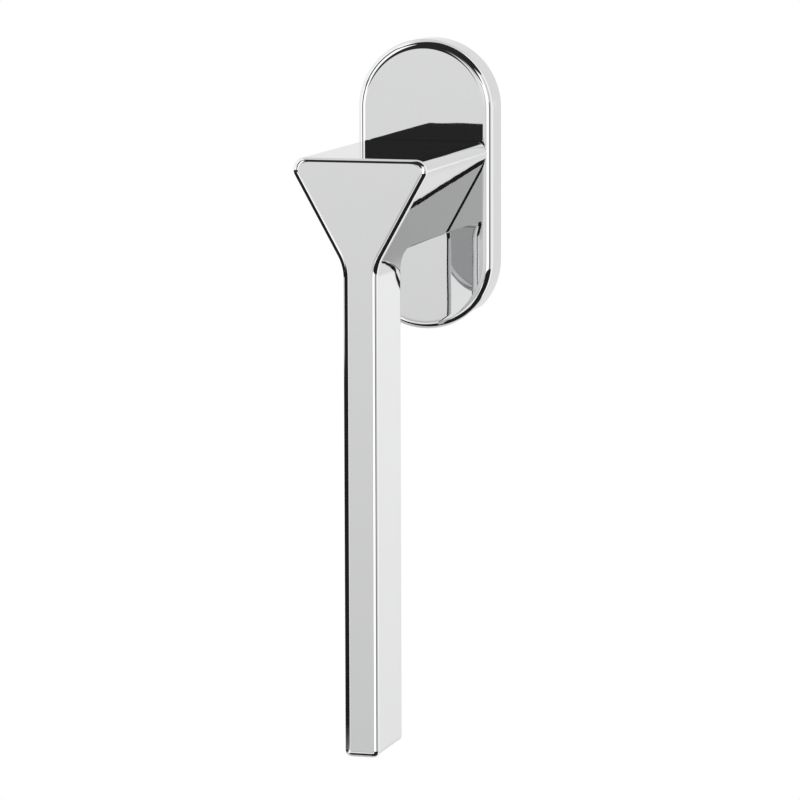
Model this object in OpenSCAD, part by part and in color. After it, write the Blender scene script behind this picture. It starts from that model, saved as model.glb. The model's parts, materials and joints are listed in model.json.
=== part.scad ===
// Tilt-and-turn window handle on an oval rosette.
// X is right, Y runs into the window, Z is up.  The origin is on the spindle's
// axis, in the plane of the window's face: the rosette stands out towards -Y.

/* [Rosette] */
// Width of the oval cover
rosette_w = 32; // [30:0.5:34]
// Height of the oval cover
rosette_h = 67; // [66:0.5:72]
// How far the cover's face stands out from the window
rosette_t = 9; // [7.4:0.1:10]
// Radius of the round edge between the cover's face and its side wall
cover_edge_r = 1.8; // [1:0.1:1.9]
// Thickness of the cover's sheet
cover_wall = 0.9; // [0.6:0.1:1]

/* [Lever] */
// How far the lever's front face stands out from the window
projection = 62; // [52:0.5:70]
// Height of the lever's top face above the spindle's axis
head_top = 10.3; // [10:0.1:13]
// Half width of the head along its top edge, before its corners are rounded
head_half_w = 17.25; // [16.5:0.05:20]
// Sideways run of the head's slanted sides for each millimetre of height
side_slope = 0.555; // [0.5:0.005:0.58]
// Radius of the head's two upper corners
corner_r = 2.7; // [1:0.1:3]
// Depth of the neck's flat underside below the spindle's axis
neck_drop = 11.2; // [10.5:0.1:11.5]
// Width of the straight bar's front face
bar_w = 8; // [6:0.1:9]
// Depth of the bar, front to back
bar_d = 20.3; // [16:0.1:24]
// Distance from the spindle's axis to the bar's lower end
bar_reach = 123.6; // [100:0.2:140]
// Radius of the hollow curve where the head runs into the bar
waist_r = 10; // [6:0.5:14]
// Radius of the inner corner between the neck's underside and the bar's back
inner_r = 1.5; // [0.5:0.1:3]
// Gap between the neck's end and the cover's face
neck_gap = 0.3; // [0.2:0.05:0.5]

/* [Fixing] */
// Distance between the two fixing screws, centre to centre
screw_pitch = 43; // [43:0.5:44]
// Radius of the fixing screws' thread, M5
screw_r = 2.5; // [2:0.25:2.5]
// Radius of the screws' plain shank, between head and thread
shank_r = 2.2; // [1.8:0.1:2.4]
// Reach of the fixing screws behind the window's face
screw_reach = 36; // [25:1:50]
// Radius of the round lugs that locate the plate in the window
lug_r = 5; // [4.5:0.25:5.5]
// Length of the locating lugs
lug_l = 6; // [3:0.5:8]
// Radius of the hollow in each lug, around the screw's thread
lug_bore_r = 3.7; // [3:0.1:4]

/* [Spindle] */
// Side of the square spindle
spindle_w = 7; // [6:0.5:7]
// Reach of the spindle behind the window's face
spindle_reach = 32; // [25:1:45]

/* [Click mechanism] */
// Side of the hub's square cam
cam_w = 15; // [14.5:0.25:15.5]
// Radius to which the cam's four corners are rounded
cam_r = 9.6; // [8.8:0.1:9.8]
// Thickness of the two leaf springs
leaf_t = 0.7; // [0.5:0.05:0.8]
// Length of the two leaf springs
leaf_l = 27; // [26:0.25:27.25]
// Radius of the hub's front journal
hub_r = 8; // [7.5:0.1:8]
// Radius of the hub's rear journal
hub_rear_r = 6.5; // [6:0.1:6.5]
// Radial clearance between the turning hub and its two bushes
running_gap = 0.05; // [0.02:0.01:0.1]

/* [Hidden] */
$fn = 96;

eps = 0.01;                     // overlap for cuts that break a surface
end_z = (rosette_h - rosette_w) / 2;    // centres of the oval's round ends
screw_z = screw_pitch / 2;

// Layers of the rosette, as Y of each face
face_y = -rosette_t;            // outside of the cover's face
cover_in_y = face_y + cover_wall;
plate_in_r = rosette_w / 2 - cover_wall;  // inside of the cover's wall
plate_r = plate_in_r - 0.2;     // the base plate, a slip fit in the cover
flange_t = 0.6;                 // the front bush's flange, just inside the cover
plate_y = cover_in_y + 0.1 + flange_t;  // front face of the base plate
sheet_t = 0.8;                  // thickness of the retaining plate
sheet_y = plate_y + sheet_t;    // its back, which closes the spring pocket
washer_t = 0.25;
pocket_y = -1.4;                // floor of the spring pocket
cam_front_y = sheet_y + washer_t + 0.15;
cam_rear_y = pocket_y - 0.1;

// Pocket for the cam and springs
pocket_half_w = 10.8;
pocket_half_h = 12;
leaf_gap = 0.02;                // leaf springs just clear the cam's flats
leaf_x = cam_w / 2 + leaf_gap;
slot_slack = 0.1;               // room around the ends of the leaf springs
sheet_half_w = 12.6;
sheet_half_h = 16.2;
sheet_corner_r = 3;

// Small screws that hold the retaining plate
small_r = 1.25;
small_head_r = 2;
small_head_h = small_head_r - small_r;
small_l = 4.4;
small_x = 4.2;
small_z = 14.2;

// Countersunk heads of the fixing screws
head_r = 4.6;
head_h = head_r - shank_r;
hex_3 = 3 / sqrt(3);            // corner radius of a 3 mm hexagon socket
hex_25 = 2.5 / sqrt(3);
screw_hole_r = screw_r + 0.15;  // the thread passes through the plate

// Clips that hold the cover: shallow bows in pockets in the plate's edge
bow_r = 14;
bow_t = 0.4;
bow_half = 5.2;                 // half of the bow's chord
bow_w = 2.8;                    // width of the strip
bow_top_x = plate_in_r - 0.02;
bow_root_x = bow_top_x - bow_r + sqrt(pow(bow_r - bow_t, 2) - pow(bow_half, 2)) - 0.02;

// Where the lever takes the hub
neck_y = face_y - neck_gap;     // the neck's end
spigot_w = 11;
spigot_y = -26;                 // front end of the hub's spigot
ring_in_r = hub_r + 0.3;
ring_r = 9.4;
ring_t = 0.9;
ring_y = face_y - 0.1;          // back of the ring, just off the cover
grub_y = -20;
grub_r = 2.5;
pin_y = -14;
pin_r = 1;
spindle_y = -22;                // front end of the spindle
hub_rear_y = -0.2;

// Lines of the head and bar, seen from the front
slant = atan(side_slope);
bar_half = bar_w / 2;
corner_z = head_top - corner_r;
corner_steps = 12;              // flats that make up the corner's curve
corner_x = head_half_w - side_slope * corner_r - corner_r / cos(slant);
waist_z = head_top - (head_half_w - bar_half) / side_slope; // where slant meets bar
waist_t = waist_r * tan(slant / 2);                         // tangent length
bar_back_y = -projection + bar_d;

// ---- Helpers ----

// A front-view outline (X across, Z up) as a solid from y0 back to y1
module along_y(y0, y1) {
    translate([0, y1, 0]) rotate([90, 0, 0]) linear_extrude(height = y1 - y0) children();
}

// A round bar along Y
module rod(r, y0, y1, x = 0, z = 0) {
    along_y(y0, y1) translate([x, z]) circle(r);
}

// A cone along Y, of radius r0 at y0 and r1 at y1
module cone(r0, r1, y0, y1) {
    translate([0, y1, 0]) rotate([90, 0, 0]) cylinder(h = y1 - y0, r1 = r1, r2 = r0);
}

module both_ends(z) {
    for (s = [-1, 1]) translate([0, 0, s * z]) children();
}

module oval(r, z) {
    translate([-r, -z]) square([2 * r, 2 * z]);
    for (s = [-1, 1]) translate([0, s * z]) circle(r);
}

module rounded_rect(half_w, half_h, r) {
    square([2 * half_w, 2 * (half_h - r)], center = true);
    square([2 * (half_w - r), 2 * half_h], center = true);
    for (sx = [-1, 1], sz = [-1, 1])
        translate([sx * (half_w - r), sz * (half_h - r)]) circle(r);
}

// Countersunk screw along +Y, its head's top at the origin
module countersunk(r, r_head, h_head, l, hex_r, hex_d) {
    difference() {
        union() {
            cone(r_head, r, 0, h_head);
            rod(r, h_head - eps, l);
        }
        translate([0, hex_d, 0]) rotate([90, 0, 0]) cylinder(h = hex_d + eps, r = hex_r, $fn = 6);
    }
}

// ---- Rosette ----

// Half of the cover's outer section: radius across, height from the window up
module cover_half_section() {
    r = rosette_w / 2;
    e = cover_edge_r;
    polygon([[0, 0], [r, 0], [r, rosette_t - e], [r - e, rosette_t], [0, rosette_t]]);
    translate([r - e, rosette_t - e]) intersection() {
        circle(e);
        square(e);
    }
}

module cover_outer() {
    mirror([0, 1, 0]) translate([0, 0, -end_z]) linear_extrude(height = 2 * end_z) {
        cover_half_section();
        mirror([1, 0]) cover_half_section();
    }
    for (turn = [0, 180]) rotate([0, turn, 0])
        translate([0, 0, end_z]) rotate([90, 0, 0]) rotate_extrude(angle = 180) cover_half_section();
}

module rosette_cover() {
    color("silver") difference() {
        cover_outer();
        along_y(cover_in_y, eps) oval(plate_in_r, end_z);
        rod(ring_in_r, face_y - eps, cover_in_y + eps);
    }
}

module base_plate() {
    color("darkgray") difference() {
        union() {
            along_y(plate_y, 0) oval(plate_r, end_z);
            both_ends(screw_z) rod(lug_r, -eps, lug_l);
        }
        // pocket for the retaining plate, then for the cam and springs
        along_y(plate_y - eps, sheet_y) rounded_rect(sheet_half_w, sheet_half_h, sheet_corner_r);
        along_y(sheet_y - eps, pocket_y)
            square([2 * pocket_half_w, 2 * pocket_half_h], center = true);
        for (s = [-1, 1]) along_y(sheet_y - eps, pocket_y)
            translate([s * (leaf_x + leaf_t / 2), 0])
                square([leaf_t + 2 * slot_slack, leaf_l + 2 * slot_slack], center = true);
        // bore for the rear bush
        rod(hub_r, pocket_y - eps, eps);
        // fixing screws
        both_ends(screw_z) {
            rod(screw_hole_r, plate_y - eps, eps);
            rod(lug_bore_r, 0, lug_l + eps);
            translate([0, plate_y, 0])
                cone(head_r + 0.1 + eps, screw_hole_r, -eps, head_r + 0.1 - screw_hole_r);
        }
        // small screws of the retaining plate
        for (sx = [-1, 1], sz = [-1, 1])
            rod(small_r, sheet_y - eps, plate_y + small_l + 0.2, sx * small_x, sz * small_z);
        // pockets for the cover's clips
        for (s = [-1, 1]) along_y(plate_y + 1, plate_y + 1 + bow_w + 0.4)
            translate([s * (bow_root_x + plate_r) / 2, 0])
                square([plate_r - bow_root_x + 2 * eps, 2 * bow_half + 1.6], center = true);
    }
}

module retaining_plate() {
    color("lightsteelblue") difference() {
        along_y(plate_y, sheet_y) rounded_rect(sheet_half_w - 0.05, sheet_half_h - 0.05, sheet_corner_r);
        rod(hub_r + 1, plate_y - eps, sheet_y + eps);
        for (sx = [-1, 1], sz = [-1, 1]) translate([sx * small_x, plate_y, sz * small_z]) {
            rod(small_r, -eps, sheet_t + eps);
            cone(small_head_r + eps, small_r, -eps, small_head_h);
        }
    }
}

module plate_screws() {
    color("lightgray") for (sx = [-1, 1], sz = [-1, 1])
        translate([sx * small_x, plate_y, sz * small_z])
            countersunk(small_r, small_head_r, small_head_h, small_l, 1.5 / sqrt(3), 0.7);
}

module front_bush() {
    color("dimgray") difference() {
        union() {
            rod(hub_r + 1, plate_y - eps, sheet_y);
            rod(hub_r + 2.2, plate_y - flange_t, plate_y);
        }
        rod(hub_r + running_gap, cover_in_y, sheet_y + eps);
    }
}

module rear_bush() {
    color("dimgray") difference() {
        rod(hub_r, pocket_y, hub_rear_y);
        rod(hub_rear_r + running_gap, pocket_y - eps, 0);
    }
}

module leaf_spring(side) {
    color("slategray") along_y(cam_front_y + 0.1, cam_rear_y - 0.1)
        translate([side * (leaf_x + leaf_t / 2), 0]) square([leaf_t, leaf_l], center = true);
}

module detent_spring_left() { leaf_spring(-1); }

module detent_spring_right() { leaf_spring(1); }

module snap_springs() {
    color("slategray") for (s = [-1, 1]) along_y(plate_y + 1.2, plate_y + 1.2 + bow_w) scale([s, 1])
        intersection() {
            translate([bow_top_x - bow_r, 0]) difference() {
                circle(bow_r);
                circle(bow_r - bow_t);
            }
            translate([0, -bow_half]) square([rosette_w, 2 * bow_half]);
        }
}

module fixing_screws() {
    color("lightgray") both_ends(screw_z) {
        translate([0, plate_y, 0]) countersunk(shank_r, head_r, head_h, eps - plate_y, hex_3, 2);
        rod(screw_r, 0, screw_reach);
    }
}

// ---- Lever ----

// Points of the head's upper right corner, from its top face round to its slanted side
function corner_arc() = [
    for (i = [0:corner_steps]) let (a = 90 - (90 + slant) * i / corner_steps)
        [corner_x + corner_r * cos(a), corner_z + corner_r * sin(a)]
];

function mirrored(points) = concat(
    points,
    [for (i = [len(points) - 1:-1:0]) [-points[i][0], points[i][1]]]
);

// Head and bar seen from the front, with the waist's two hollow curves
module front_outline() {
    difference() {
        polygon(mirrored(concat(corner_arc(), [
            [bar_half + waist_t * sin(slant), waist_z + waist_t * cos(slant)],
            [bar_half, waist_z - waist_t],
            [bar_half, -bar_reach]
        ])));
        for (s = [-1, 1]) translate([s * (bar_half + waist_r), waist_z - waist_t]) circle(waist_r);
    }
}

// Neck, head and bar seen from the right: Y across, Z up
module side_outline() {
    difference() {
        polygon([
            [-projection, -bar_reach], [bar_back_y, -bar_reach],
            [bar_back_y, -neck_drop - inner_r], [bar_back_y + inner_r, -neck_drop],
            [neck_y, -neck_drop], [neck_y, head_top], [-projection, head_top]
        ]);
        translate([bar_back_y + inner_r, -neck_drop - inner_r]) circle(inner_r);
    }
}

module lever() {
    color("gainsboro") difference() {
        intersection() {
            along_y(-projection - 1, neck_y + 1) front_outline();
            translate([-head_half_w, 0, 0]) rotate([90, 0, 90])
                linear_extrude(height = 2 * head_half_w) side_outline();
        }
        along_y(spigot_y - 0.5, neck_y + 1) square(spigot_w, center = true);
        along_y(ring_y - ring_t, neck_y + 1) difference() {
            circle(ring_r);
            circle(ring_in_r);
        }
        translate([0, grub_y, -neck_drop - 1]) cylinder(h = neck_drop, r = grub_r);
    }
}

module hub() {
    color("darkgray") difference() {
        union() {
            along_y(spigot_y, neck_y + eps) square(spigot_w, center = true);
            rod(hub_r, neck_y, cam_front_y + eps);
            intersection() {
                along_y(cam_front_y, cam_rear_y) square(cam_w, center = true);
                rod(cam_r, cam_front_y, cam_rear_y);
            }
            rod(hub_rear_r, cam_rear_y - eps, hub_rear_y);
        }
        along_y(spindle_y, 0) square(spindle_w, center = true);
        translate([-spigot_w, pin_y, 0]) rotate([0, 90, 0]) cylinder(h = 2 * spigot_w, r = pin_r);
        translate([0, grub_y, -spigot_w / 2 - eps]) cylinder(h = 0.3 + eps, r = grub_r);
    }
}

module hub_washer() {
    color("lightgray") difference() {
        rod(hub_r + 1.6, sheet_y + 0.1, sheet_y + 0.1 + washer_t);
        rod(hub_r + 0.1, sheet_y, cam_front_y);
    }
}

module glide_ring() {
    color("dimgray") difference() {
        rod(ring_r, ring_y - ring_t, ring_y);
        rod(ring_in_r, ring_y - ring_t - eps, ring_y + eps);
    }
}

module square_spindle() {
    color("lightgray") difference() {
        along_y(spindle_y, spindle_reach) square(spindle_w, center = true);
        translate([-spindle_w, pin_y, 0]) rotate([0, 90, 0]) cylinder(h = 2 * spindle_w, r = pin_r);
    }
}

module spindle_pin() {
    color("slategray") translate([-spigot_w / 2, pin_y, 0])
        rotate([0, 90, 0]) cylinder(h = spigot_w, r = pin_r);
}

module grub_screw() {
    color("slategray") translate([0, grub_y, 0]) difference() {
        translate([0, 0, -neck_drop + 0.4])
            cylinder(h = neck_drop - 0.4 - spigot_w / 2 + 0.3, r = grub_r);
        translate([0, 0, -neck_drop]) cylinder(h = 2.9, r = hex_25, $fn = 6);
    }
}

base_plate();
rosette_cover();
retaining_plate();
plate_screws();
front_bush();
rear_bush();
detent_spring_left();
detent_spring_right();
snap_springs();
fixing_screws();
lever();
hub();
hub_washer();
glide_ring();
square_spindle();
spindle_pin();
grub_screw();
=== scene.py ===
"""Looks of a tilt-and-turn window handle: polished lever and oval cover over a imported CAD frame.

Lengths are in metres.  Angles are in radians, or in degrees where a name or a comment says so.
X is right, Y runs into the window, Z is up; the spindle's axis is the Y axis.
"""
import json
import math

import bmesh
import bpy
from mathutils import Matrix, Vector


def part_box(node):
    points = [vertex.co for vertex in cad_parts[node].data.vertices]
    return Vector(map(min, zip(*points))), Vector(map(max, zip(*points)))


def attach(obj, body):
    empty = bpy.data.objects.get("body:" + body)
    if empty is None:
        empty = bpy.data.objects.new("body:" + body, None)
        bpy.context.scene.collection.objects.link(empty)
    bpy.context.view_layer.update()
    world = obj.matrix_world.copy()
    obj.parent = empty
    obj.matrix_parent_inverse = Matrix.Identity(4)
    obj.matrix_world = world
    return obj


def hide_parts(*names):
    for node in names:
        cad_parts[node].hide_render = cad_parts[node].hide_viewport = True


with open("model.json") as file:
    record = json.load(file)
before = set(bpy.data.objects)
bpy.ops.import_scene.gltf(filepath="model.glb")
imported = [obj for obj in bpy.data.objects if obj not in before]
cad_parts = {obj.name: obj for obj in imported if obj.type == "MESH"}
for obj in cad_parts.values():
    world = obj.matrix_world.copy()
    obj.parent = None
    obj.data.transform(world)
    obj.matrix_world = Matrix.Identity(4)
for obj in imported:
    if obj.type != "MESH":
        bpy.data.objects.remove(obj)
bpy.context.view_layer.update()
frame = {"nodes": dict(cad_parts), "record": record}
MM = 0.001

# ---- Driving dimensions, from the frame where it has them ----

COVER_LOW, COVER_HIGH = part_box("rosette_cover")
LEVER_LOW, LEVER_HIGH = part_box("lever")
GRUB_LOW, GRUB_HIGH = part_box("grub_screw")

# Cover
COVER_R = COVER_HIGH.x                          # radius of the oval's ends
COVER_END_Z = COVER_HIGH.z - COVER_R            # centres of the oval's ends
COVER_FACE_Y = COVER_LOW.y
COVER_EDGE_R = 1.8 * MM
CROWN_R = 6 * MM                                # the face falls away softly before its edge
CROWN_DEG = 6
COVER_WALL = 0.9 * MM
COVER_RIM_R = 0.2 * MM                          # soft edge of the rim on the window
COVER_HOLE_R = 8.3 * MM

# Lever, front view and side view as in the CAD model
FRONT_Y = LEVER_LOW.y
NECK_END_Y = LEVER_HIGH.y
HEAD_TOP = LEVER_HIGH.z
BAR_END = LEVER_LOW.z
SIDE_SLOPE = 0.555                              # sideways run of the slanted sides per height
HEAD_HALF_W = 17.25 * MM
CORNER_R = 2.7 * MM
NECK_BOTTOM = -11.2 * MM
BAR_HALF = 4 * MM
BAR_BACK_Y = FRONT_Y + 20.3 * MM
WAIST_R = 10 * MM
INNER_R = 1.5 * MM

# Radii of the lever's polished edges, finer than the CAD model has them
FRONT_EDGE_R = 1.55 * MM
TOP_EDGE_R = 0.9 * MM                           # the head's top edge is crisper
TOP_EDGE_FADE = 9                               # corners over which its radius grows to the front's
BACK_EDGE_R = 1.5 * MM                          # back of the bar
UNDER_EDGE_R = 0.4 * MM                         # underside of the neck
NECK_EDGE_R = 1.6 * MM                          # end of the neck, next to the cover
FOOT_R = 1.65 * MM                              # corners of the bar's lower end
GRUB_GAP = 0.1 * MM                             # all round the grub screw
LEAST_DROP = 0.02 * MM                          # between two corners of the lever's outline


# ---- Camera ----

def make_camera():
    """A long lens from the front, a little to the right of the handle and above it."""
    azimuth = math.radians(15.98)
    elevation = math.radians(7.73)
    distance = 1.0929
    aim = Vector((-8.24, -0.87, -51.3)) * MM
    back = Vector((math.sin(azimuth) * math.cos(elevation),
                   -math.cos(azimuth) * math.cos(elevation),
                   math.sin(elevation)))
    camera = bpy.data.objects.new("camera", bpy.data.cameras.new("camera"))
    bpy.context.scene.collection.objects.link(camera)
    camera.data.lens = 210.4
    camera.data.sensor_width = 36
    camera.data.clip_end = 50
    camera.location = aim + back * distance
    turn = back.to_track_quat("Z", "Y").to_matrix().to_4x4()
    roll = math.radians(-0.17)
    camera.rotation_euler = turn.to_euler()
    camera.rotation_euler.rotate_axis("Z", roll)
    bpy.context.scene.camera = camera


make_camera()


# ---- Mesh helpers ----

def arc(centre, radius, start_deg, end_deg, steps):
    """Points of an arc, both ends included."""
    points = []
    for i in range(steps + 1):
        a = math.radians(start_deg + (end_deg - start_deg) * i / steps)
        points.append((centre[0] + radius * math.cos(a), centre[1] + radius * math.sin(a)))
    return points


def make_object(name, bm):
    """A smooth-shaded object made from a bmesh."""
    bmesh.ops.recalc_face_normals(bm, faces=bm.faces)
    for face in bm.faces:
        face.smooth = True
    mesh = bpy.data.meshes.new(name)
    bm.to_mesh(mesh)
    bm.free()
    obj = bpy.data.objects.new(name, mesh)
    bpy.context.scene.collection.objects.link(obj)
    return obj


def lead_with_flats(obj):
    """Flat faces keep their own normals, so that they mirror like flat glass."""
    weighted = obj.modifiers.new("flat_faces_lead", "WEIGHTED_NORMAL")
    weighted.mode = "FACE_AREA"
    weighted.weight = 100
    weighted.keep_sharp = True


# ---- Rosette cover ----

def oval_points(inset, steps):
    """Outline of the cover seen from the front, moved inwards by inset."""
    r = COVER_R - inset
    top = arc((0, COVER_END_Z), r, 0, 180, steps)
    bottom = arc((0, -COVER_END_Z), r, 180, 360, steps)
    return top + bottom


def cover_section():
    """(inset, y) of each ring of the shell, from the cavity's roof round the rim to the flat face."""
    inner = COVER_WALL
    rings = [(inner, COVER_FACE_Y + COVER_WALL), (inner, -COVER_RIM_R)]
    for i in range(1, 4):                       # rim on the window, inner then outer corner
        a = math.pi / 2 * i / 3
        rings.append((inner - COVER_RIM_R * (1 - math.cos(a)), -COVER_RIM_R * (1 - math.sin(a))))
    for i in range(4):
        a = math.pi / 2 * i / 3
        rings.append((COVER_RIM_R * (1 - math.sin(a)), -COVER_RIM_R * (1 - math.cos(a))))
    crown = math.radians(CROWN_DEG)
    edge_y = COVER_FACE_Y + CROWN_R * (1 - math.cos(crown)) + COVER_EDGE_R * math.cos(crown)
    for i in range(17):                         # round edge, from the wall to the crown
        a = (math.pi / 2 - crown) * i / 16
        rings.append((COVER_EDGE_R * (1 - math.cos(a)), edge_y - COVER_EDGE_R * math.sin(a)))
    crown_end = rings[-1][0] + CROWN_R * math.sin(crown)
    for i in range(1, 9):                       # crown, on to the flat face
        a = crown * (1 - i / 8)
        rings.append((crown_end - CROWN_R * math.sin(a), COVER_FACE_Y + CROWN_R * (1 - math.cos(a))))
    return rings


def make_cover():
    """The oval shell with its round hole, in place of the CAD model's rosette_cover."""
    steps = 72
    bm = bmesh.new()
    rings = []
    for inset, y in cover_section():
        rings.append([bm.verts.new((x, y, z)) for x, z in oval_points(inset, steps)])
    count = len(rings[0])
    hole = arc((0, 0), COVER_HOLE_R, 0, 360, count)[:count]
    rings.append([bm.verts.new((x, COVER_FACE_Y, z)) for x, z in hole])
    rings.append([bm.verts.new((x, COVER_FACE_Y + COVER_WALL, z)) for x, z in hole])
    for a, b in zip(rings, rings[1:] + rings[:1]):
        for i in range(count):
            j = (i + 1) % count
            bm.faces.new((a[i], a[j], b[j], b[i]))
    for ring in (rings[0], rings[1], rings[-3], rings[-2], rings[-1]):
        for i in range(count):                  # borders of the flat faces keep them flat
            bm.edges.get((ring[i], ring[(i + 1) % count])).smooth = False
    cover = make_object("polished_cover", bm)
    lead_with_flats(cover)
    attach(cover, "base")
    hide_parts("rosette_cover")
    return cover


# ---- Lever ----

SLANT = math.atan(SIDE_SLOPE)
CORNER_Z = HEAD_TOP - CORNER_R
CORNER_X = HEAD_HALF_W - SIDE_SLOPE * CORNER_R - CORNER_R / math.cos(SLANT)
WAIST_T = WAIST_R * math.tan(SLANT / 2)         # tangent length of the waist's curve
WAIST_LOW_Z = HEAD_TOP - (HEAD_HALF_W - BAR_HALF) / SIDE_SLOPE - WAIST_T
WAIST_HIGH_Z = WAIST_LOW_Z + WAIST_T * (1 + math.cos(SLANT))
INNER_Y = BAR_BACK_Y + INNER_R                  # centre line of the inner corner's curve
INNER_Z = NECK_BOTTOM - INNER_R


def side_x(z):
    """Half width of the lever at a height: slanted side, then waist, then bar."""
    if z >= WAIST_HIGH_Z:
        return HEAD_HALF_W - SIDE_SLOPE * (HEAD_TOP - z)
    if z > WAIST_LOW_Z:
        return BAR_HALF + WAIST_R - math.sqrt(WAIST_R ** 2 - (z - WAIST_LOW_Z) ** 2)
    return BAR_HALF


def back_y(z):
    """Where the lever's side ends towards the window, at a height below the neck."""
    if z <= INNER_Z:
        return BAR_BACK_Y
    return INNER_Y - math.sqrt(max(0.0, INNER_R ** 2 - (z - INNER_Z) ** 2))


def lever_outline():
    """Right half seen from the front, from the head's top round to the bar's lower end."""
    corner = arc((CORNER_X, CORNER_Z), CORNER_R, 90, -math.degrees(SLANT), 20)
    inner = [INNER_Z + INNER_R * math.cos(math.pi / 2 * i / 8) for i in range(9)]
    waist = [WAIST_LOW_Z + (WAIST_HIGH_Z - WAIST_LOW_Z) * (1 - i / 28) for i in range(29)]
    inner[0] = NECK_BOTTOM                      # exactly, as make_lever looks for it
    heights = sorted(set(inner) | set(waist), reverse=True)
    kept = [heights[0]]
    for z in heights[1:]:
        if kept[-1] - z > LEAST_DROP:
            kept.append(z)
    foot = arc((BAR_HALF - FOOT_R, BAR_END + FOOT_R), FOOT_R, 0, -90, 8)
    return corner + [(side_x(z), z) for z in kept] + foot


def cut_grub_hole(lever):
    """A round blind hole up into the neck's underside, in which the grub screw sits."""
    bm = bmesh.new()
    bmesh.ops.create_cone(bm, cap_ends=True, segments=64, depth=GRUB_HIGH.z - NECK_BOTTOM + 2 * MM,
                          radius1=GRUB_HIGH.x + GRUB_GAP, radius2=GRUB_HIGH.x + GRUB_GAP)
    drill = make_object("drill", bm)
    drill.location = (0, (GRUB_LOW.y + GRUB_HIGH.y) / 2, (GRUB_HIGH.z + NECK_BOTTOM) / 2 - MM)
    hole = lever.modifiers.new("grub_hole", "BOOLEAN")
    hole.operation = "DIFFERENCE"
    hole.object = drill
    ready = lever.evaluated_get(bpy.context.evaluated_depsgraph_get())
    mesh = bpy.data.meshes.new_from_object(ready)
    lever.modifiers.clear()
    lever.data = mesh
    bpy.data.objects.remove(drill)
    bm = bmesh.new()
    bm.from_mesh(mesh)
    for edge in bm.edges:                       # everything but the hole is rounded already
        edge.smooth = edge.calc_face_angle(0) < math.radians(50)
    bm.to_mesh(mesh)
    bm.free()


def make_lever():
    """Head, neck and bar as one closed solid, in place of the CAD model's lever."""
    right = lever_outline()
    outline = right + [(-x, z) for x, z in reversed(right)]
    count = len(outline)
    mirror = [count - 1 - i for i in range(count)]
    first = next(i for i in range(count) if outline[i][1] == NECK_BOTTOM)
    low = next(i for i in range(first, count) if outline[i][1] <= INNER_Z)

    bm = bmesh.new()
    rounding = bm.edges.layers.float.new("bevel_weight_edge")
    front = [bm.verts.new((x, FRONT_Y, z)) for x, z in outline]
    back = [bm.verts.new((x, NECK_END_Y if z >= NECK_BOTTOM else back_y(z), z)) for x, z in outline]
    # where the neck's underside meets the inner corner's curve, right and left
    under = [bm.verts.new((outline[i][0], INNER_Y, NECK_BOTTOM)) for i in (first, mirror[first])]

    bm.faces.new(front)
    for i in range(count):
        j = (i + 1) % count
        side = [front[i], front[j], back[j], back[i]]
        if i == first:
            side.insert(3, under[0])
        elif j == mirror[first]:
            side.insert(3, under[1])
        bm.faces.new(side)
    neck_end = back[mirror[first]:] + back[:first + 1]
    bm.faces.new(neck_end)
    bm.faces.new((back[first], under[0], under[1], back[mirror[first]]))
    curve = [under[0]] + back[first + 1:low + 1]
    mirrored_curve = [under[1]] + [back[mirror[i]] for i in range(first + 1, low + 1)]
    for a, b, c, d in zip(curve, curve[1:], mirrored_curve[1:], mirrored_curve):
        bm.faces.new((a, b, c, d))
    bm.faces.new(back[low:mirror[low] + 1])

    def soften(chain, radii):
        """Mark the edges along a chain of corners with the radius each is to be rounded to."""
        for pair, radius in zip(zip(chain, chain[1:]), radii):
            bm.edges.get(pair)[rounding] = radius / FRONT_EDGE_R

    from_top = [min(1, (min(i, count - 2 - i) + 1) / TOP_EDGE_FADE) for i in range(count)]
    soften(front + front[:1], [TOP_EDGE_R + (FRONT_EDGE_R - TOP_EDGE_R) * t for t in from_top])
    under_back = [UNDER_EDGE_R + (BACK_EDGE_R - UNDER_EDGE_R) * i / (len(curve) - 1)
                  for i in range(len(curve))]
    soften([back[first]] + curve, under_back)
    soften([back[mirror[first]]] + mirrored_curve, under_back)
    soften(back[low:mirror[low] + 1], [BACK_EDGE_R] * count)
    soften(neck_end + neck_end[:1], [NECK_EDGE_R] * count)

    lever = make_object("polished_lever", bm)
    bevel = lever.modifiers.new("soft_edges", "BEVEL")
    bevel.limit_method = "WEIGHT"
    bevel.width = FRONT_EDGE_R
    bevel.segments = 10
    bevel.use_clamp_overlap = False
    cut_grub_hole(lever)
    lead_with_flats(lever)
    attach(lever, "handle")
    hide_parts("lever")
    return lever


# ---- Studio ----

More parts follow.
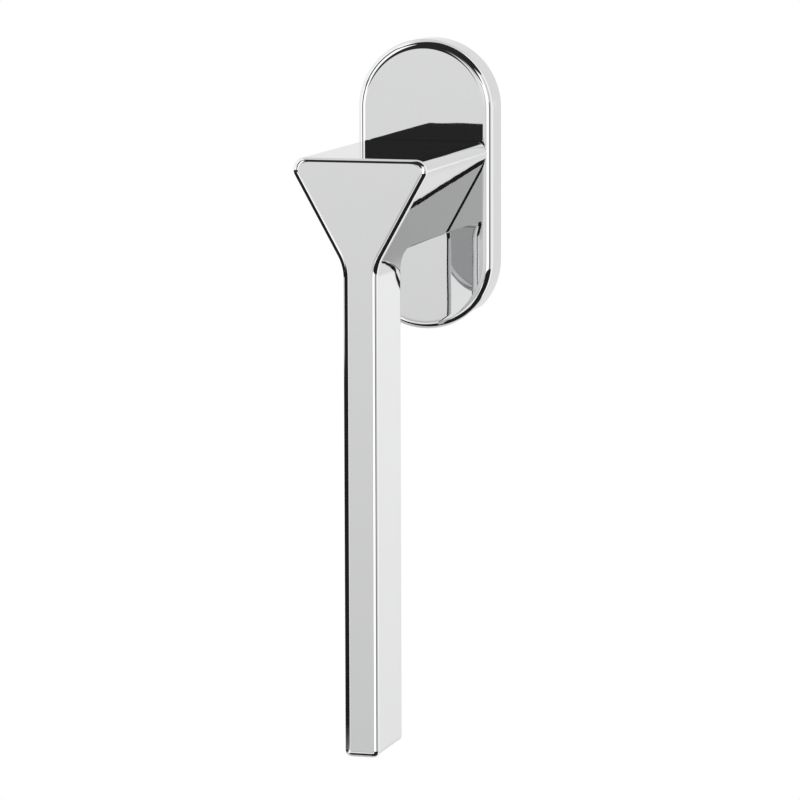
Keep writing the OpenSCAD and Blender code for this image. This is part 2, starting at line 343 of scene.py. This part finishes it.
# Soft boxes, grey cards and black flags around the handle.  Each row holds, in degrees, azimuth
# from and to (0 is straight ahead of the window, positive to the left), elevation from and to
# (0 is the horizon), and the widths of the soft borders (across, up); then the brightness at its
# lower and upper edge.  Later rows cover earlier ones.
STUDIO = (
    ((21.5, 79), (-90, 60), (1, 3), (1.6, 1.6)),         # soft box, left
    ((-68, -15), (-90, 60), (6, 3), (1.6, 1.6)),         # soft box, right
    ((75, 140), (-5.4, 60), (6, 3), (1.3, 1.3)),         # its paler wing, round the left side
    ((-141, -103), (-60, 60), (6, 6), (1.35, 1.35)),     # narrow box, far right
    ((140, 200), (-90, 90), (12, 1), (0.92, 0.92)),      # wall, back left
    ((157, 172), (-22, -5.8), (4, 1), (1.7, 1.7)),       # lamp patch on that wall
    ((-200, -140), (-90, 90), (12, 1), (0.94, 0.94)),    # wall, back right
    ((-164.6, -140), (-18, -1), (1.2, 5), (0.95, 1.23)), # brighter towards the side
    ((-15, 21.5), (-23, 6), (2, 3), (0.62, 1.25)),       # grey card ahead, darker downwards
    ((-15, 21.5), (-23, -13), (2, 3), (0.5, 0.78)),
    ((-24, 30), (-42, -23), (3, 3), (1.3, 1.1)),         # light apron below it
    ((10, 24.5), (-1.8, 95), (2, 1.2), (0.03, 0.03)),    # black ceiling, lowest over the card
    ((-2, 21.5), (10, 95), (6, 4), (0.03, 0.03)),
    ((-42, 21.5), (17, 95), (5, 4), (0.03, 0.03)),
    ((-108, 50), (35, 95), (4, 3), (0.03, 0.03)),
    ((40, 56), (-6, 8), (2, 0.6), (0.03, 0.03)),         # dark gap between soft boxes, left
    ((46, 64), (8, 44), (2, 3), (0.03, 0.03)),
    ((-23, -17.5), (-18, 12), (1.5, 2), (0.2, 0.2)),     # and right
    ((-79, -65), (-20, 4), (3, 3), (0.03, 0.1)),
    ((28, 100), (-12, -5.2), (2, 0.6), (0.02, 0.02)),    # flag, low left
    ((28, 145), (-12, -7.2), (2, 0.6), (0.02, 0.02)),
    ((50, 145), (-28, -12), (6, 0.6), (0.02, 0.02)),
    ((-106, -26), (-46, -13.5), (3, 1.5), (0.02, 0.02)), # flag, low right
    ((-130, 70), (-95, -42), (5, 3), (0.02, 0.02)),      # black table edge below
)
ROOM = (0.62, 1.0)                              # brightness of everything else, low and high,
ROOM_REACH = 50                                 # from so many degrees down to as many up


class Nodes:
    """Shorthand for wiring a shader's node tree."""

    def __init__(self, tree):
        self.tree = tree
        tree.nodes.clear()

    def add(self, kind, links=None, **settings):
        node = self.tree.nodes.new(kind)
        for key, value in settings.items():
            setattr(node, key, value)
        for key, value in (links or {}).items():
            if isinstance(value, bpy.types.NodeSocket):
                self.tree.links.new(value, node.inputs[key])
            else:
                node.inputs[key].default_value = value
        return node

    def math(self, operation, a, b=0.0):
        return self.add("ShaderNodeMath", {0: a, 1: b}, operation=operation).outputs[0]

    def ramp(self, value, start, end, low=0.0, high=1.0, smooth=True):
        """value carried from start..end to low..high, held at the ends."""
        return self.add("ShaderNodeMapRange", {0: value, 1: start, 2: end, 3: low, 4: high},
                        interpolation_type="SMOOTHSTEP" if smooth else "LINEAR").outputs[0]

    def band(self, value, span, border):
        """1 inside the span, 0 outside, with a soft border."""
        rise = self.ramp(value, span[0] - border / 2, span[0] + border / 2)
        fall = self.ramp(value, span[1] - border / 2, span[1] + border / 2, 1.0, 0.0)
        return self.math("MULTIPLY", rise, fall)


def make_world():
    """What the polished faces mirror: a light studio with cards and flags; plain white behind."""
    world = bpy.data.worlds.new("studio")
    world.use_nodes = True
    bpy.context.scene.world = world
    n = Nodes(world.node_tree)
    direction = n.add("ShaderNodeTexCoord").outputs["Generated"]
    xyz = n.add("ShaderNodeSeparateXYZ", {0: direction}).outputs
    left = n.math("MULTIPLY", xyz[0], -1.0)
    ahead = n.math("MULTIPLY", xyz[1], -1.0)
    azimuth = n.math("DEGREES", n.math("ARCTAN2", left, ahead))
    elevation = n.math("DEGREES", n.math("ARCSINE", xyz[2]))
    level = n.ramp(elevation, -ROOM_REACH, ROOM_REACH, ROOM[0], ROOM[1], smooth=False)
    for across, up, border, brightness in STUDIO:
        mask = n.math("MULTIPLY", n.band(azimuth, across, border[0]), n.band(elevation, up, border[1]))
        shade = n.ramp(elevation, up[0], up[1], brightness[0], brightness[1], smooth=False)
        level = n.add("ShaderNodeMix", {0: mask, 2: level, 3: shade}).outputs[0]
    seen = n.add("ShaderNodeLightPath").outputs["Is Camera Ray"]
    level = n.add("ShaderNodeMix", {0: seen, 2: level, 3: 1.0}).outputs[0]
    background = n.add("ShaderNodeBackground", {"Color": (1, 1, 1, 1), "Strength": level})
    n.add("ShaderNodeOutputWorld", {0: background.outputs[0]})


def make_floor():
    """A pale round floor well below the handle."""
    bm = bmesh.new()
    bmesh.ops.create_circle(bm, cap_ends=True, segments=96, radius=0.55)
    floor = make_object("floor", bm)
    floor.location = (0, 0, -0.4)
    floor.visible_glossy = False                # the low cards show in the chrome instead
    material, n, shader = principled("pale_floor")
    speckle = n.add("ShaderNodeTexNoise", {"Scale": 60, "Detail": 4}).outputs[0]
    n.tree.links.new(n.add("ShaderNodeMix", {0: speckle, 6: (0.8, 0.8, 0.79, 1), 7: (0.86, 0.86, 0.86, 1)},
                           data_type="RGBA").outputs[2], shader.inputs["Base Color"])
    shader.inputs["Roughness"].default_value = 0.8
    floor.data.materials.append(material)


def make_lamp():
    """A large soft lamp above and in front; the world lights the rest."""
    lamp = bpy.data.lights.new("soft_lamp", "AREA")
    lamp.shape = "DISK"
    lamp.size = 0.8
    lamp.energy = 6
    over = bpy.data.objects.new("soft_lamp", lamp)
    over.location = (0.3, -0.5, 0.9)
    over.rotation_euler = Vector((0.3, -0.5, 0.95)).to_track_quat("Z", "Y").to_euler()
    over.visible_glossy = False
    bpy.context.scene.collection.objects.link(over)


# ---- Materials ----

CLOUDS = 70.0                                   # cycles per metre of the slow change of gloss
SWELLS = 110.0                                  # and of the long wave of a polished face


def principled(name):
    """A new material, the wiring of its node tree, and its one Principled shader."""
    material = bpy.data.materials.new(name)
    material.use_nodes = True
    n = Nodes(material.node_tree)
    shader = n.add("ShaderNodeBsdfPrincipled")
    n.add("ShaderNodeOutputMaterial", {0: shader.outputs[0]})
    return material, n, shader


def finish_surface(name, colour, metallic, roughness, grain, depth, mottle=0.06,
                   stretch=(1, 1, 1), wave=0.0):
    """A worked surface: tone and gloss vary with a fine grain, which also stands in relief.

    roughness is (least, most); grain is in cycles per metre; depth and wave are in metres.
    """
    material, n, shader = principled(name)
    place = n.add("ShaderNodeTexCoord").outputs["Object"]
    drawn = n.add("ShaderNodeMapping", {"Vector": place, "Scale": stretch}).outputs[0]
    fine = n.add("ShaderNodeTexNoise", {"Vector": drawn, "Scale": grain, "Detail": 5.0}).outputs[0]
    cloudy = n.add("ShaderNodeTexNoise", {"Vector": place, "Scale": CLOUDS, "Detail": 2.0}).outputs[0]
    dark = tuple(c * (1 - mottle) for c in colour) + (1,)
    tone = n.add("ShaderNodeMix", {0: n.ramp(fine, 0.3, 0.7), 6: dark, 7: colour + (1,)},
                 data_type="RGBA").outputs[2]
    both = n.math("ADD", n.math("MULTIPLY", fine, 0.6), n.math("MULTIPLY", cloudy, 0.4))
    gloss = n.ramp(both, 0.35, 0.65, roughness[0], roughness[1])
    relief = n.add("ShaderNodeBump", {"Strength": 1.0, "Distance": depth, "Height": fine}).outputs[0]
    if wave:
        swell = n.add("ShaderNodeTexNoise", {"Vector": place, "Scale": SWELLS, "Detail": 1.0}).outputs[0]
        relief = n.add("ShaderNodeBump", {"Strength": 1.0, "Distance": wave, "Height": swell,
                                          "Normal": relief}).outputs[0]
    for key, value in (("Base Color", tone), ("Roughness", gloss), ("Normal", relief)):
        n.tree.links.new(value, shader.inputs[key])
    shader.inputs["Metallic"].default_value = metallic
    return material


def make_materials():
    """One procedural material for each slot of the record."""
    return {
        "polished_chrome": finish_surface("polished_chrome", (0.655, 0.657, 0.66), 1.0, (0.012, 0.03),
                                          1500.0, 2e-8, mottle=0.012, wave=1.6e-5),
        "die_cast_zinc": finish_surface("die_cast_zinc", (0.58, 0.59, 0.6), 1.0, (0.42, 0.6),
                                        2200.0, 2e-5),
        "plated_steel": finish_surface("plated_steel", (0.58, 0.585, 0.6), 1.0, (0.18, 0.32),
                                       1500.0, 4e-6, stretch=(1, 0.08, 1)),
        "spring_steel": finish_surface("spring_steel", (0.36, 0.37, 0.4), 1.0, (0.28, 0.42),
                                       1800.0, 4e-6, stretch=(1, 1, 0.1)),
        "black_steel": finish_surface("black_steel", (0.1, 0.1, 0.11), 1.0, (0.35, 0.5),
                                      2500.0, 5e-6),
        "dark_nylon": finish_surface("dark_nylon", (0.16, 0.16, 0.17), 0.0, (0.4, 0.55),
                                     3000.0, 8e-6),
    }


def dress(obj, material):
    obj.data.materials.clear()
    obj.data.materials.append(material)


# ---- Put together ----

materials = make_materials()
make_world()
make_floor()
make_lamp()
for subpart in frame["record"]["subparts"]:
    dress(frame["nodes"][subpart["node"]], materials[subpart["material_slot"]])
for piece in (make_cover(), make_lever()):
    dress(piece, materials["polished_chrome"])

bpy.context.scene.view_settings.view_transform = "Standard"
